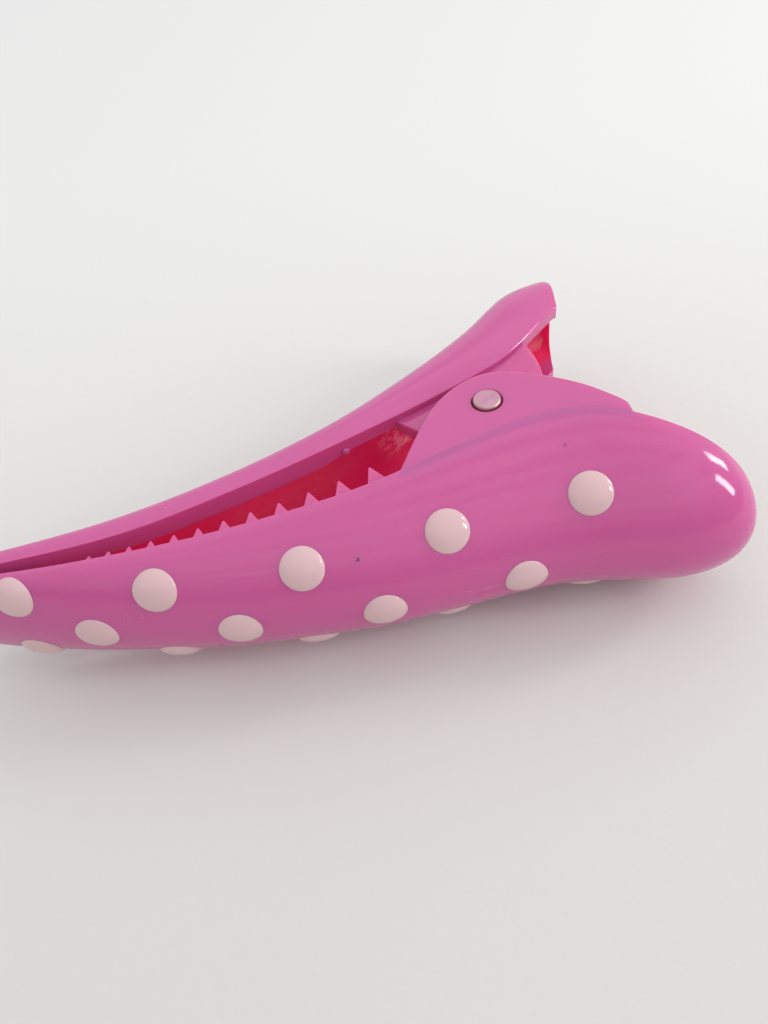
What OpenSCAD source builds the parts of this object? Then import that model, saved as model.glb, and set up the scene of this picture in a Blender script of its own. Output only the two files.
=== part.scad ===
// Sectioning clip: two curved plastic shells on a hinge pin, closed by a torsion spring.
// The clip lies on its side. The pin runs along Z, the jaws point to -X and the handles to +X.
// All shapes are drawn about the middle of the pin, and placed() then moves them to the clip's
// own origin, which is the middle of its footprint.

/* [Overall] */
// Length of the jaws, from the pin to the tip
jaw_len = 55; // [44:1:70]
// Length of the dotted front handle, from the pin to its end
front_handle_len = 22.3; // [18:0.1:28]
// Length of the plain back handle, along the same line
back_handle_len = 12.5; // [10.4:0.1:15]
// Width of the front shell at its widest station
front_w = 18.2; // [15.1:0.1:21.9]

/* [Shells] */
// Wall of both shells
wall = 1.5; // [1.25:0.05:1.8]
// Extra thickness of the lip along the back jaw's rim
lip_extra = 0.7; // [0:0.1:1]
// Roundness of the front shell's section, 2 is an ellipse
front_section = 1.9; // [1.8:0.1:3]
// Roundness of the back shell's section, which is boxier
back_section = 4.2; // [3:0.1:5]
// Length over which the tips are rounded, seen from the side
tip_round = 7; // [5:0.5:9]
// Length over which the front handle's end is rounded
end_round = 15.5; // [12:0.5:18]
// Radius of the crown's corner at the end of the back handle
crown_round = 1.4; // [1:0.1:2]
// Solid length behind each tip
tip_solid = 9; // [7:0.5:12]

/* [Hinge] */
// Diameter of the hinge pin
pin_d = 2.7; // [2.2:0.1:3.3]
// Radial clearance of the pin in the front ears
pin_seat_clear = 0.05; // [0.02:0.01:0.1]
// Radial clearance of the pin in the back ears
pin_run_clear = 0.07; // [0.03:0.01:0.1]
// Length of the pin that stands out of each front ear
pin_proud = 0.3; // [0.1:0.1:0.5]
// Chamfer at the pin's ends
pin_chamfer = 0.25; // [0.1:0.05:0.4]
// Thickness of the front ears
ear_t = 1.7; // [1.4:0.1:2]
// Gap between a front ear and the back shell beside it
ear_clear = 0.3; // [0.2:0.05:0.4]
// Thickness of the back ears
back_ear_t = 1.4; // [1.2:0.1:1.7]
// Step from the back shell's side in to its ears
back_ear_step = 0.85; // [0.75:0.05:0.95]
// Depth of both shells' ears below the rims that they stand on
ear_root = 1.1; // [0.8:0.1:1.4]

/* [Teeth] */
// Number of teeth along each wall of the front shell
tooth_count = 12; // [8:1:13]
// Distance of the first tooth in front of the pin
tooth_first = 11.4; // [11:0.1:13]
// Pitch of the first two teeth
tooth_pitch = 3.2; // [2.6:0.1:3.4]
// Share of the pitch and height kept from one tooth to the next
tooth_taper = 0.945; // [0.92:0.005:0.96]
// Height of the first tooth above the rim
tooth_h = 3.1; // [2.4:0.1:3.3]
// Thickness of a tooth
tooth_t = 1.1; // [0.8:0.1:1.4]
// Depth of a tooth's root below the rim
tooth_root = 1.2; // [0.8:0.1:1.4]
// Clearance kept between a tooth's point and the back jaw's rim
tooth_clear = 0.4; // [0.3:0.05:0.5]

/* [Dots] */
// Diameter of a raised dot
dot_d = 4; // [3.2:0.1:4.8]
// Height of a dot above the shell
dot_h = 0.6; // [0.5:0.05:1.2]
// Depth of the round seat that a dot is set in
dot_seat = 0.6; // [0.5:0.05:0.7]
// Clearance round a dot in its seat
dot_clear = 0.05; // [0.02:0.01:0.1]
// Distance from the tip to the first shoulder dot
dot_first = 9.5; // [8.5:0.5:12]
// Distance of the last shoulder dot behind the pin
dot_last = 6.6; // [4:0.2:8]
// Angle of the shoulder rows round the section, 0 at the rim and 90 at the crown
dot_angle = 45; // [40:1:50]

/* [Spring] */
// Diameter of the spring wire
wire_d = 1; // [0.8:0.05:1.1]
// Clearance between the pin and the coil
coil_clear = 0.35; // [0.2:0.05:0.5]
// Number of turns in the coil
coil_turns = 6; // [4:1:6]
// Gap between the coil and each back ear
coil_end_clear = 0.3; // [0.2:0.05:0.5]
// Direction of the leg that bears on the front handle
front_leg_angle = -55; // [-60:1:-45]
// Length of the leg that bears on the front handle
front_leg_len = 16.2; // [12:0.1:17]
// Direction of the leg that bears on the back handle
back_leg_angle = 78; // [72:1:84]
// Length of the leg that bears on the back handle
back_leg_len = 16.9; // [13:0.1:17]
// Clearance between the back leg's end and the back shell's wall
leg_clear = 0.05; // [0.02:0.01:0.2]

/* [Hidden] */

stations = 34;
section_steps = 18;
ear_steps = 5;
round_fn = 48;
wire_sides = 8;
coil_steps = 16;
tip_power = 2.2;
end_power = 2.4;
tip_height = 0.3;
lip_start = -17;
lip_end = -12;
tooth_inset = 1;
tooth_base = 0.78;
shell_pink = [0.80, 0.36, 0.60];
dot_pink = [0.94, 0.78, 0.80];
steel = [0.72, 0.68, 0.66];

// Front shell, one row a station: place (-1 at the tip, 0 at the pin, 1 at the handle end),
// height of the rim, height of the crown, share of the half width.
front_rows = [
    [-1.00, -6.35, -7.7, 0.49],
    [-0.91, -7.2, -8.9, 0.56],
    [-0.73, -8.5, -12.0, 0.665],
    [-0.51, -8.85, -14.5, 0.755],
    [-0.29, -7.8, -15.6, 0.83],
    [-0.145, -6.05, -15.5, 0.88],
    [0.00, -3.95, -14.9, 0.925],
    [0.22, -3.35, -14.9, 0.955],
    [0.45, -4.3, -15.8, 1.00],
    [0.72, -7.45, -18.1, 1.06],
    [1.00, -11.3, -20.9, 1.14]
];

// Back shell, one row a station: rim place, rim height, crown place, crown height, width share.
back_rows = [
    [-1.00, -6.2, -1.00, -4.6, 0.80],
    [-0.82, -6.9, -0.82, -4.3, 0.92],
    [-0.635, -6.2, -0.645, -2.9, 0.96],
    [-0.445, -3.5, -0.46, -0.1, 0.985],
    [-0.255, 0.1, -0.285, 4.0, 1.00],
    [-0.08, 4.1, -0.13, 9.4, 0.99],
    [0.27, 8.2, 0.02, 15.1, 0.96],
    [0.67, 12.8, 0.50, 20.7, 0.91],
    [0.90, 15.9, 0.97, 22.9, 0.81]
];

// Ear outlines about the pin, from the jaw side over the free edge to the handle side.
front_ear_points = [
    [-9.6, -6.6], [-7.0, -2.0], [-4.9, 1.0], [-2.4, 3.0], [0.2, 3.9],
    [2.8, 3.5], [5.5, 2.15], [9.1, -0.55], [12.3, -3.8]
];
back_ear_points = [
    [-8.6, 2.4], [-5.6, -0.6], [-2.9, -2.9], [0.4, -3.7], [3.4, -2.2],
    [5.6, 1.2], [6.8, 5.2], [6.8, 8.2], [6.2, 10.8]
];

// Where a place share falls along X, with its own length in front of and behind the pin.
function along(place, handle_len) = place * (place < 0 ? jaw_len : handle_len);

// Smooth curve through the rows v at s = 0, 1, 2 and so on.
function curve(v, s) =
    let (
        last = len(v) - 1,
        i = max(0, min(floor(s), last - 1)),
        u = s - i,
        m0 = i == 0 ? v[1] - v[0] : (v[i + 1] - v[i - 1]) / 2,
        m1 = i == last - 1 ? v[last] - v[last - 1] : (v[i + 2] - v[i]) / 2
    )
    v[i] * (2 * u ^ 3 - 3 * u ^ 2 + 1) + m0 * (u ^ 3 - 2 * u ^ 2 + u)
    + v[i + 1] * (3 * u ^ 2 - 2 * u ^ 3) + m1 * (u ^ 3 - u ^ 2);

// The rows in millimetres.
front_mm = [for (r = front_rows) [along(r[0], front_handle_len), r[1], r[2], r[3] * front_w / 2]];
ear_out = curve([for (r = front_mm) r[3]], 6);
back_half = ear_out - ear_t - ear_clear;
back_mm = [
    for (r = back_rows)
    [along(r[0], back_handle_len), r[1], along(r[2], back_handle_len), r[3], r[4] * back_half]
];
front_last = len(front_mm) - 1;
back_last = len(back_mm) - 1;

// The s at which a curve's first column reaches x, by halving the interval.
function find_s(v, x, lo, hi, n = 24) =
    n == 0 ? (lo + hi) / 2
    : curve(v, (lo + hi) / 2)[0] < x ? find_s(v, x, (lo + hi) / 2, hi, n - 1)
    : find_s(v, x, lo, (lo + hi) / 2, n - 1);

// Share that falls from 1 to 0 in a round over the last stretch before an end.
function rounding(past, stretch, power) =
    sqrt(max(0, 1 - max(0, min(1, past / stretch)) ^ power));

// Stations between two ends, closer together at both.
function spread(lo, hi) =
    [for (i = [0:stations]) lo + (hi - lo) * (1 - cos(180 * i / stations)) / 2];

// Half a superellipse: share across at t = 0 and 180, share of the depth at 90.
function across(t, n) = sign(cos(t)) * abs(cos(t)) ^ (2 / n);
function deep(t, n) = abs(sin(t)) ^ (2 / n);

// Point on the front shell's skin at s and t, with the skin set in by inset.
function front_point(s, t, inset) =
    let (
        r = curve(front_mm, s),
        tip_x = -jaw_len + (inset > 0 ? tip_solid : 0),
        end_x = front_handle_len - inset,
        share = min(
            rounding(tip_x + tip_round - r[0], tip_round, tip_power),
            rounding(r[0] - end_x + end_round - inset, end_round - inset, end_power)
        ),
        depth = max(r[1] - r[2] - inset, tip_height) * share
    )
    [r[0], r[1] - depth * deep(t, front_section), (r[3] - inset) * share * across(t, front_section)];

// Extra wall of the back jaw's lip, which fades out in front of the ears.
function lip(x) = lip_extra * max(0, min(1, (lip_end - x) / (lip_end - lip_start)));

// Point on the back shell's skin at s and t, with the skin set in by inset.
function back_point(s, t, inset) =
    let (
        r = curve(back_mm, s),
        rim = [r[0], r[1]],
        crown = [r[2], r[3]],
        tip_x = -jaw_len + (inset > 0 ? tip_solid : 0),
        share = rounding(tip_x + tip_round - r[0], tip_round, tip_power),
        past = r[2] - back_mm[back_last][2] + crown_round,
        corner = crown_round * (1 - rounding(past, crown_round, 2)),
        depth = max(norm(crown - rim) - inset - corner, tip_height) * share,
        p = rim + (crown - rim) / norm(crown - rim) * depth * deep(t, back_section),
        half = r[4] - (inset > 0 ? inset + lip(r[0]) : 0)
    )
    [p[0], p[1], half * share * across(t, back_section)];

angles = [for (j = [0:section_steps]) 180 * j / section_steps];

front_in_lo = find_s(front_mm, -jaw_len + tip_solid, 0, front_last);
front_in_hi = find_s(front_mm, front_handle_len - wall, 0, front_last);
back_in_lo = find_s(back_mm, -jaw_len + tip_solid, 0, back_last);
front_outer = [for (s = spread(0, front_last)) [for (t = angles) front_point(s, t, 0)]];
front_inner = [for (s = spread(front_in_lo, front_in_hi)) [for (t = angles) front_point(s, t, wall)]];
// The back shell's rings run the other way round, because its crown is on the other side.
back_outer = [for (s = spread(0, back_last)) [for (t = angles) back_point(s, 180 - t, 0)]];
back_inner = [
    for (s = spread(back_in_lo, back_last))
    [for (t = angles) back_point(s, 180 - t, wall)]
];

// Extent of the whole clip about the pin, which places the origin.
front_all = [for (row = front_outer) for (p = row) p];
back_all = [for (row = back_outer) for (p = row) p];
high_y = max([for (p = back_all) p[1]]);
low_y = min(concat(
    [for (p = front_all) p[1]],
    [for (i = [0:3]) (dot_point(dot_s(i + 0.5), 90) + dot_h * dot_normal(dot_s(i + 0.5), 90))[1]]
));
half_z = max(concat([for (p = front_all) p[2]], [ear_out + pin_proud]));
origin = [(front_handle_len - jaw_len) / 2, (low_y + high_y) / 2, -half_z];

// Dots: the s of shoulder dot i (the crown dots take the halves), and its point and normal.
function dot_s(i) =
    find_s(front_mm, -jaw_len + dot_first + (jaw_len - dot_first + dot_last) * i / 4, 0, front_last);
function dot_point(s, t) = front_point(s, t, 0);
function dot_normal(s, t) =
    let (
        a = front_point(s + 0.02, t, 0) - front_point(s - 0.02, t, 0),
        b = front_point(s, t + 1, 0) - front_point(s, t - 1, 0),
        n = cross(b, a)
    )
    n / norm(n);

// Teeth: distance of tooth i in front of the pin, and the rim there.
function tooth_x(i) = -tooth_first - tooth_pitch * (1 - tooth_taper ^ i) / (1 - tooth_taper);
function tooth_s(i) = find_s(front_mm, tooth_x(i), 0, front_last);

// Height of tooth i, whose point stays clear of the back jaw's rim.
function tooth_height(i) =
    let (
        front_rim = curve(front_mm, tooth_s(i))[1],
        back_rim = curve(back_mm, find_s(back_mm, tooth_x(i), 0, back_last))[1]
    )
    max(0.1, min(tooth_h * tooth_taper ^ i, back_rim - front_rim - tooth_clear));

// Coil: its space between the back ears, its radius and its pitch.
back_ear_in = back_half - back_ear_step - back_ear_t;
coil_r = pin_d / 2 + coil_clear + wire_d / 2;
coil_h = 2 * (back_ear_in - coil_end_clear) - wire_d;
coil_start = front_leg_angle + 90;
coil_sweep = 360 * coil_turns + back_leg_angle - 90 - coil_start;
coil_rings = coil_steps * coil_turns;

function coil_point(i) =
    let (a = coil_start + coil_sweep * i / coil_rings)
    [coil_r * cos(a), coil_r * sin(a), coil_h * (i / coil_rings - 0.5)];

// The s at which the back shell's section passes through p, by halving the interval.
function back_section_s(p, lo, hi, n = 20) =
    let (
        mid = (lo + hi) / 2,
        r = curve(back_mm, mid),
        ahead = (r[3] - r[1]) * (p[0] - r[0]) > (r[2] - r[0]) * (p[1] - r[1])
    )
    n == 0 ? mid : ahead ? back_section_s(p, mid, hi, n - 1) : back_section_s(p, lo, mid, n - 1);

// How far p, with some room round it, fills the back shell's hollow: 1 is its wall.
function back_fill(p, room) =
    let (
        r = curve(back_mm, back_section_s(p, 0, back_last)),
        depth = norm([r[2] - r[0], r[3] - r[1]]) - wall
    )
    ((norm([p[0] - r[0], p[1] - r[1]]) + room) / depth) ^ back_section
    + ((abs(p[2]) + room) / (r[4] - wall)) ^ back_section;

function back_leg_end(length) =
    coil_point(coil_rings) + length * [cos(back_leg_angle), sin(back_leg_angle), 0];

// Length of the back leg, whose end stays inside the back shell's hollow.
function back_leg_fit(lo, hi, n = 16) =
    back_fill(back_leg_end(hi), wire_d / 2 + leg_clear) < 1 ? hi
    : n == 0 ? lo
    : back_fill(back_leg_end((lo + hi) / 2), wire_d / 2 + leg_clear) < 1
    ? back_leg_fit((lo + hi) / 2, hi, n - 1)
    : back_leg_fit(lo, (lo + hi) / 2, n - 1);

// Middle line of the spring wire: leg, coil, leg.
spring_path = concat(
    [coil_point(0) + front_leg_len * [cos(front_leg_angle), sin(front_leg_angle), 0]],
    [for (i = [0:coil_rings]) coil_point(i)],
    [back_leg_end(back_leg_fit(0, back_leg_len))]
);

// Moves a shape drawn about the pin to the clip's own origin.
module placed() {
    translate([-origin[0], -origin[1], -origin[2]]) children();
}

// Closed wall between an outer and an inner skin, which are rings of points from rim to rim.
// The rings run to a pole at both ends, or with open_end to a flat cut at the last one.
module shell_solid(outer, inner, open_end) {
    m = section_steps;
    n = stations;
    skin = (m + 1) * (n + 1);
    function at(k, i, j) = k * skin + i * (m + 1) + (i == 0 || (i == n && !open_end) ? 0 : j);
    function quad(a, b, c, d) = [[a, b, c], [a, c, d]];
    outer_quads = [
        for (i = [0:n - 1]) for (j = [0:m - 1])
        each quad(at(0, i, j), at(0, i + 1, j), at(0, i + 1, j + 1), at(0, i, j + 1))
    ];
    inner_quads = [
        for (i = [0:n - 1]) for (j = [0:m - 1])
        each quad(at(1, i, j + 1), at(1, i + 1, j + 1), at(1, i + 1, j), at(1, i, j))
    ];
    rim_quads = [
        for (i = [0:n - 1])
        each concat(
            quad(at(1, i, 0), at(1, i + 1, 0), at(0, i + 1, 0), at(0, i, 0)),
            quad(at(0, i, m), at(0, i + 1, m), at(1, i + 1, m), at(1, i, m))
        )
    ];
    end_quads = open_end ? [
        for (j = [0:m - 1])
        each quad(at(0, n, j + 1), at(0, n, j), at(1, n, j), at(1, n, j + 1))
    ] : [];
    faces = concat(outer_quads, inner_quads, rim_quads, end_quads);
    polyhedron(
        points = [for (rings = [outer, inner]) for (ring = rings) for (p = ring) p],
        faces = [for (f = faces) if (f[0] != f[1] && f[1] != f[2] && f[2] != f[0]) f]
    );
}

// Flat tab on one side wall, from its free edge down to its root in the wall below the rim.
module ear(points, rim, low, thickness, side) {
    last = len(points) - 1;
    edge = [for (i = [0:last * ear_steps]) curve(points, i / ear_steps)];
    translate([0, 0, side > 0 ? low : -low - thickness])
        linear_extrude(thickness)
            polygon(concat(edge, rim));
}

module front_ear(side) {
    lo = find_s(front_mm, front_ear_points[0][0], 0, front_last);
    hi = find_s(front_mm, front_ear_points[len(front_ear_points) - 1][0], 0, front_last);
    root = [
        for (i = [0:ear_steps * 2])
        let (r = curve(front_mm, hi + (lo - hi) * i / (ear_steps * 2)))
        [r[0], r[1] - ear_root]
    ];
    ear(front_ear_points, root, ear_out - ear_t, ear_t, side);
}

module back_ear(side) {
    lo = find_s(back_mm, back_ear_points[0][0], 0, back_last);
    hi = find_s(back_mm, back_ear_points[len(back_ear_points) - 1][0], 0, back_last);
    root = [
        for (i = [0:ear_steps * 2])
        let (
            r = curve(back_mm, hi + (lo - hi) * i / (ear_steps * 2)),
            rim = [r[0], r[1]],
            crown = [r[2], r[3]]
        )
        rim + (crown - rim) / norm(crown - rim) * ear_root
    ];
    ear(back_ear_points, root, back_ear_in, back_ear_t, side);
}

// Pointed tooth number i, on one side wall, square to the rim.
module tooth(i, side) {
    s = tooth_s(i);
    r = curve(front_mm, s);
    slope = curve(front_mm, s + 0.01) - curve(front_mm, s - 0.01);
    size = tooth_taper ^ i;
    half = tooth_base * tooth_pitch * size / 2;
    low = r[3] - tooth_inset - tooth_t;
    translate([r[0], r[1], side > 0 ? low : -low - tooth_t])
        rotate(atan2(slope[1], slope[0]))
            linear_extrude(tooth_t)
                polygon([[-half, -tooth_root], [half, -tooth_root], [half, 0],
                         [0, tooth_height(i)], [-half, 0]]);
}

// Turns a shape that points along Z to point along n.
module aim(n) {
    rotate([0, acos(n[2]), atan2(n[1], n[0])]) children();
}

// Puts a shape on the front shell's skin, at shoulder place i and angle t.
module on_skin(i, t) {
    s = dot_s(i);
    translate(dot_point(s, t)) aim(dot_normal(s, t)) children();
}

module dot_pocket() {
    translate([0, 0, -dot_seat]) cylinder(d = dot_d + 2 * dot_clear, h = dot_seat + 2, $fn = round_fn);
}

// One raised dot: a round foot in its seat, and a dome that stands out of the shell.
module dot(i, t) {
    dome_r = (dot_d ^ 2 / 4 + dot_h ^ 2) / (2 * dot_h);
    color(dot_pink) placed() on_skin(i, t) {
        translate([0, 0, -dot_seat]) cylinder(d = dot_d, h = dot_seat, $fn = round_fn);
        intersection() {
            translate([0, 0, dot_h - dome_r]) sphere(r = dome_r, $fn = 2 * round_fn);
            cylinder(d = dot_d, h = dot_h + 1, $fn = round_fn);
        }
    }
}

module front_shell() {
    color(shell_pink) placed() difference() {
        union() {
            shell_solid(front_outer, front_inner, false);
            for (side = [-1, 1]) {
                front_ear(side);
                for (i = [0:tooth_count - 1]) tooth(i, side);
            }
        }
        cylinder(d = pin_d + 2 * pin_seat_clear, h = 3 * half_z, center = true, $fn = round_fn);
        for (i = [0:4]) for (t = [dot_angle, 180 - dot_angle]) on_skin(i, t) dot_pocket();
        for (i = [0:3]) on_skin(i + 0.5, 90) dot_pocket();
    }
}

module back_shell() {
    color(shell_pink) placed() difference() {
        union() {
            shell_solid(back_outer, back_inner, true);
            for (side = [-1, 1]) back_ear(side);
        }
        cylinder(d = pin_d + 2 * pin_run_clear, h = 3 * half_z, center = true, $fn = round_fn);
    }
}

module hinge_pin() {
    end = ear_out + pin_proud;
    color(steel) placed() rotate_extrude($fn = round_fn)
        polygon([[0, -end], [pin_d / 2 - pin_chamfer, -end], [pin_d / 2, -end + pin_chamfer],
                 [pin_d / 2, end - pin_chamfer], [pin_d / 2 - pin_chamfer, end], [0, end]]);
}

// Round wire along a path: a ring of points square to the path at each of its points.
module torsion_spring() {
    n = len(spring_path);
    function toward(i) =
        spring_path[min(i + 1, n - 1)] - spring_path[max(i - 1, 0)];
    function heading(i) =
        i == 1 ? toward(0) / norm(toward(0)) + (spring_path[2] - spring_path[1])
        : i == n - 2 ? spring_path[n - 2] - spring_path[n - 3] + toward(n - 1) / norm(toward(n - 1))
        : toward(i);
    rings = [
        for (i = [0:n - 1])
        let (
            d = heading(i) / norm(heading(i)),
            side = cross(d, [0, 0, 1]) / norm(cross(d, [0, 0, 1])),
            up = cross(side, d)
        )
        for (j = [0:wire_sides - 1])
        let (a = 360 * j / wire_sides)
        spring_path[i] + wire_d / 2 * (side * cos(a) + up * sin(a))
    ];
    sides = [
        for (i = [0:n - 2]) for (j = [0:wire_sides - 1])
        let (k = (j + 1) % wire_sides)
        [i * wire_sides + j, i * wire_sides + k, (i + 1) * wire_sides + k, (i + 1) * wire_sides + j]
    ];
    ends = [
        [for (j = [wire_sides - 1:-1:0]) j],
        [for (j = [0:wire_sides - 1]) (n - 1) * wire_sides + j]
    ];
    color(steel) placed() polyhedron(points = rings, faces = concat(sides, ends));
}

front_shell();
back_shell();
hinge_pin();
torsion_spring();
dot(0, dot_angle);  // upper_dot_1
dot(1, dot_angle);  // upper_dot_2
dot(2, dot_angle);  // upper_dot_3
dot(3, dot_angle);  // upper_dot_4
dot(4, dot_angle);  // upper_dot_5
dot(0.5, 90);  // crown_dot_1
dot(1.5, 90);  // crown_dot_2
dot(2.5, 90);  // crown_dot_3
dot(3.5, 90);  // crown_dot_4
dot(0, 180 - dot_angle);  // lower_dot_1
dot(1, 180 - dot_angle);  // lower_dot_2
dot(2, 180 - dot_angle);  // lower_dot_3
dot(3, 180 - dot_angle);  // lower_dot_4
dot(4, 180 - dot_angle);  // lower_dot_5
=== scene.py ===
"""Looks of the sectioning clip: two pink shells, pale raised dots, a steel pin and its spring.

Lengths are worked out in millimetres about the middle of the hinge pin, with X towards the
handles, Y from the dotted shell to the plain shell and Z along the pin, and go into the meshes
in metres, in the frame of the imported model.
"""

import math

import bmesh
import bpy
import numpy as np
from mathutils import Matrix, Vector


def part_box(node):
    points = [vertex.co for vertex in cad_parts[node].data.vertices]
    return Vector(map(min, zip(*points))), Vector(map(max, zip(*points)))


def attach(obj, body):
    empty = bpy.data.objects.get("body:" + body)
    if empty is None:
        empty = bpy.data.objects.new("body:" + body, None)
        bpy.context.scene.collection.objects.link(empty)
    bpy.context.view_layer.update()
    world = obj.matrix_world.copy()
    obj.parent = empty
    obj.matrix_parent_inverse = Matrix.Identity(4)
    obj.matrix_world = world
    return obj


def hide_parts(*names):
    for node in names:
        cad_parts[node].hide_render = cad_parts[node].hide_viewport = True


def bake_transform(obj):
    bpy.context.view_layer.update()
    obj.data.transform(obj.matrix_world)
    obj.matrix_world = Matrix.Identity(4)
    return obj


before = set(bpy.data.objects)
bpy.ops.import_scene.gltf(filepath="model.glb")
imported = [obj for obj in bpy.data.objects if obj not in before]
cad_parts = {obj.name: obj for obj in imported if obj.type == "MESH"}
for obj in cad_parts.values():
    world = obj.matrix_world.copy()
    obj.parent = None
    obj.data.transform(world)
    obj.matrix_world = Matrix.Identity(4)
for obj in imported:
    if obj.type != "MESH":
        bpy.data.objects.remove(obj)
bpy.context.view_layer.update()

MM = 0.001


def centre_of(node):
    """Middle of a node's box, in millimetres."""
    low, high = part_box(node)
    return (np.array(low) + np.array(high)) / 2 / MM


PIN = centre_of("hinge_pin")

# Sizes of the shells, the same as in the clip's design.
JAW_LEN = 55.0
FRONT_HANDLE = 22.3
BACK_HANDLE = 12.5
HALF_W = 9.1
WALL = 1.5
EAR_T = 1.7
EAR_CLEAR = 0.3
TIP_ROUND = 7.0
END_ROUND = 15.5
TIP_SOLID = 9.0
FRONT_POWER = 1.9
BACK_POWER = 4.2
LIP = 0.7
CROWN_ROUND = 1.4
EDGE_R = 0.16

# Raised dots, and how far the first and last stand from the tip and from the pin.
DOT_R = 2.0
DOT_H = 0.6
DOT_DOME = 0.64
DOT_SKIRT = 0.3
FIRST_DOT = 9.5
LAST_DOT = 6.6

# Teeth, from the one nearest the pin.
TOOTH_COUNT = 12
TOOTH_PITCH = 3.2
TOOTH_HEIGHT = 3.1
TOOTH_THICK = 1.1
TOOTH_SHRINK = 0.945
TOOTH_ROOT = 1.2
TOOTH_TIP_R = 0.22
TOOTH_FROM_FLANK = 1.0
FIRST_TOOTH = -11.4

# Ears and the holes in them.
FRONT_HOLE_R = 1.47
BACK_HOLE_R = 1.42
BACK_EAR_T = 1.4
BACK_EAR_IN = 0.85
EAR_ROOT = 1.1
FRONT_EAR_ROUND = 0.42
BACK_EAR_ROUND = 0.2
HOLE_ROUND = 0.18

# Pin: radius, rolled edge, rise of its end, and how far it stands out.
PIN_R = 1.34
PIN_ROLL = 0.29
PIN_DOME = 0.05
PIN_PROUD = 0.3

# Spring, with angles in degrees. A leg is its direction and its length.
COIL_R = 2.2
COIL_TURNS = 6
COIL_LEN = 6.735
COIL_START = 35
COIL_SWEEP = 2113
WIRE_R = 0.5
FRONT_LEG = (-55, 16.2)
BACK_LEG = (78, 16.9)

# How finely the shells are worked out: stations along, steps round a section, how much the
# stations crowd at the ends, and the angle in degrees from which an edge is sharp.
STATIONS = 190
STEPS = 72
CROWDING = 0.7
SHARP_ANGLE = 38

# Front shell by stations: place, heights of the rim and the crown, and half width. Place and
# width are shares of the lengths above.
FRONT_ROWS = [
    (-1.00, -6.35, -7.7, 0.49),
    (-0.91, -7.2, -8.9, 0.56),
    (-0.73, -8.5, -12.0, 0.665),
    (-0.51, -8.85, -14.5, 0.755),
    (-0.29, -7.8, -15.6, 0.83),
    (-0.145, -6.05, -15.5, 0.88),
    (0.00, -3.95, -14.9, 0.925),
    (0.22, -3.35, -14.9, 0.955),
    (0.45, -4.3, -15.8, 1.00),
    (0.72, -7.45, -18.1, 1.06),
    (1.00, -11.3, -20.9, 1.14),
]
# Back shell by stations: place and height of the rim, the same of the crown, and half width.
BACK_ROWS = [
    (-1.00, -6.2, -1.00, -4.6, 0.80),
    (-0.82, -6.9, -0.82, -4.3, 0.92),
    (-0.635, -6.2, -0.645, -2.9, 0.96),
    (-0.445, -3.5, -0.46, -0.1, 0.985),
    (-0.255, 0.1, -0.285, 4.0, 1.00),
    (-0.08, 4.1, -0.13, 9.4, 0.99),
    (0.27, 8.2, 0.02, 15.1, 0.96),
    (0.67, 12.8, 0.50, 20.7, 0.91),
    (0.90, 15.9, 0.97, 22.9, 0.81),
]
# Free edges of the ears, as X and Y.
FRONT_EAR = [
    (-9.6, -6.6), (-7.0, -2.0), (-4.9, 1.0), (-2.4, 3.0), (0.2, 3.9),
    (2.8, 3.5), (5.5, 2.15), (9.1, -0.55), (12.3, -3.8),
]
BACK_EAR = [
    (-8.6, 2.4), (-5.6, -0.6), (-2.9, -2.9), (0.4, -3.7), (3.4, -2.2),
    (5.6, 1.2), (6.8, 5.2), (6.8, 8.2), (6.2, 10.8),
]


# ---------------------------------------------------------------- curves and skins


def along(place, handle):
    """A place share as an X, with its own length in front of and behind the pin."""
    return place * (JAW_LEN if place < 0 else handle)


def curve(rows, s):
    """Catmull-Rom curve through the rows at s = 0, 1, 2 ..., for an array of s."""
    rows = np.asarray(rows, float)
    last = len(rows) - 1
    s = np.asarray(s, float)
    i = np.clip(np.floor(s).astype(int), 0, last - 1)
    u = (s - i)[..., None]
    a, b = rows[i], rows[i + 1]
    m0 = np.where((i == 0)[..., None], rows[1] - rows[0], (b - rows[np.maximum(i - 1, 0)]) / 2)
    m1 = np.where(
        (i == last - 1)[..., None], rows[last] - rows[last - 1],
        (rows[np.minimum(i + 2, last)] - a) / 2,
    )
    return (
        a * (2 * u**3 - 3 * u**2 + 1) + m0 * (u**3 - 2 * u**2 + u)
        + b * (3 * u**2 - 2 * u**3) + m1 * (u**3 - u**2)
    )


FRONT = [(along(p, FRONT_HANDLE), rim, crown, w * HALF_W) for p, rim, crown, w in FRONT_ROWS]
EAR_OUT = FRONT[6][3]
BACK_HALF = EAR_OUT - EAR_T - EAR_CLEAR
BACK = [
    (along(p, BACK_HANDLE), rim, along(q, BACK_HANDLE), crown, w * BACK_HALF)
    for p, rim, q, crown, w in BACK_ROWS
]
FRONT_S = np.linspace(0, len(FRONT) - 1, 4001)
BACK_S = np.linspace(0, len(BACK) - 1, 4001)
FRONT_TABLE = curve(FRONT, FRONT_S)
BACK_TABLE = curve(BACK, BACK_S)


def front_s(x):
    """The s at which the front shell reaches x."""
    return np.interp(x, FRONT_TABLE[:, 0], FRONT_S)


def back_s(x):
    """The s at which the back shell's rim reaches x."""
    return np.interp(x, BACK_TABLE[:, 0], BACK_S)


def front_rim(x):
    """Height of the front rim at x."""
    return np.interp(x, FRONT_TABLE[:, 0], FRONT_TABLE[:, 1])


def back_rim(x):
    """Height of the back rim at x."""
    return np.interp(x, BACK_TABLE[:, 0], BACK_TABLE[:, 1])


def front_half(x):
    """Half width of the front shell at x."""
    return np.interp(x, FRONT_TABLE[:, 0], FRONT_TABLE[:, 3])


def rounding(past, stretch, power):
    """Share that falls from 1 to 0 in a round over the last stretch before an end."""
    return np.sqrt(np.maximum(0, 1 - np.clip(past / stretch, 0, 1) ** power))


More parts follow.
